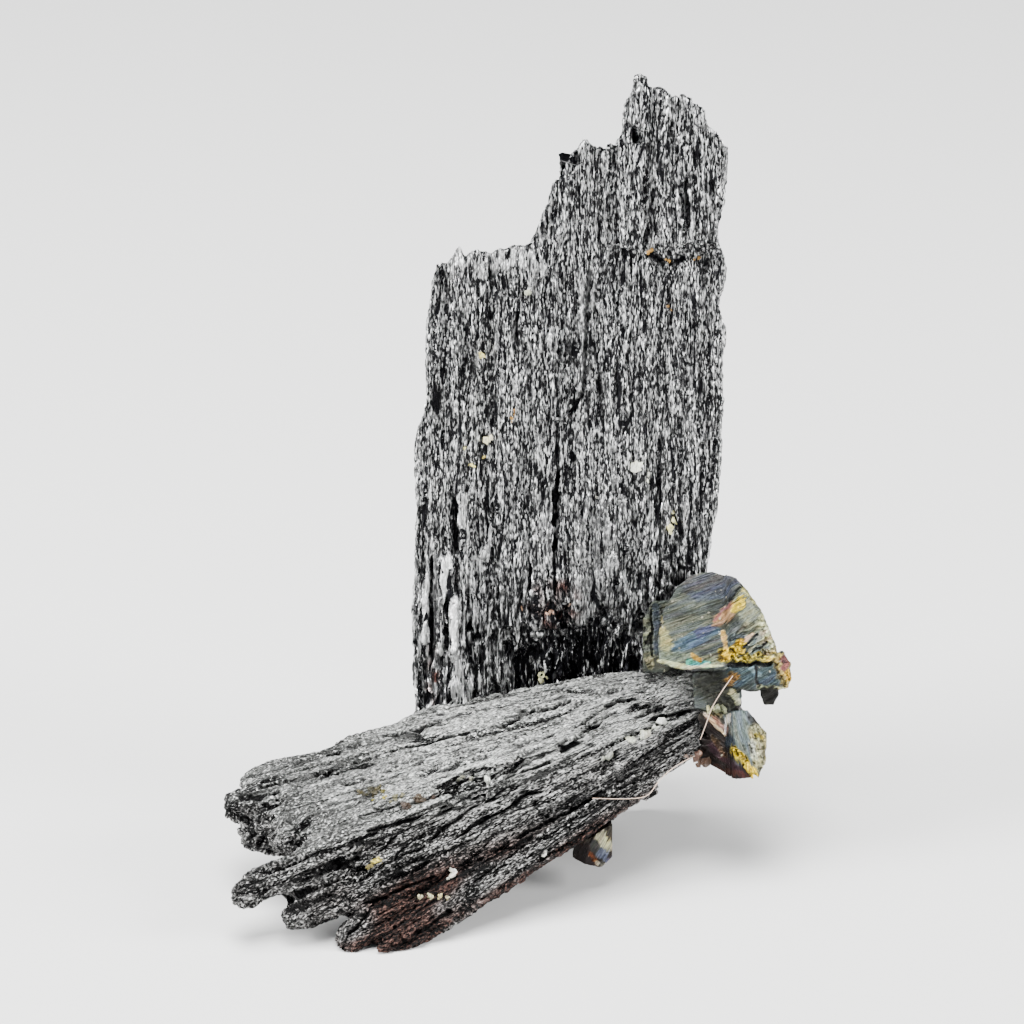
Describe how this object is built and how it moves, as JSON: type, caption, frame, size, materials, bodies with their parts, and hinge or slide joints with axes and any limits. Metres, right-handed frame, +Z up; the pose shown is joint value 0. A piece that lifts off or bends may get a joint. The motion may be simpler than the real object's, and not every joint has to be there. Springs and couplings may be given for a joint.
{
  "type": "pyrite mineral specimen",
  "caption": "Mineral specimen: iridescent tarnished pyrite crystals on a tall striated black blade and a low spreading fan of black laths, standing on its broken foot.",
  "frame": {"origin": "middle of the specimen's box, on the surface that it rests on", "axes": "+Z up, -Y towards the front with the fan of laths and the pyrite, +X towards the pyrite's side"},
  "size_m": [0.0474, 0.0324, 0.0657],
  "materials": {
    "black_mineral": "satin",
    "pyrite": "satin"
  },
  "bodies": {
    "root": {"black_blades": "black_mineral", "upper_pyrite": "pyrite", "lower_pyrite": "pyrite", "small_pyrite": "pyrite"}
  },
  "joints": []
}
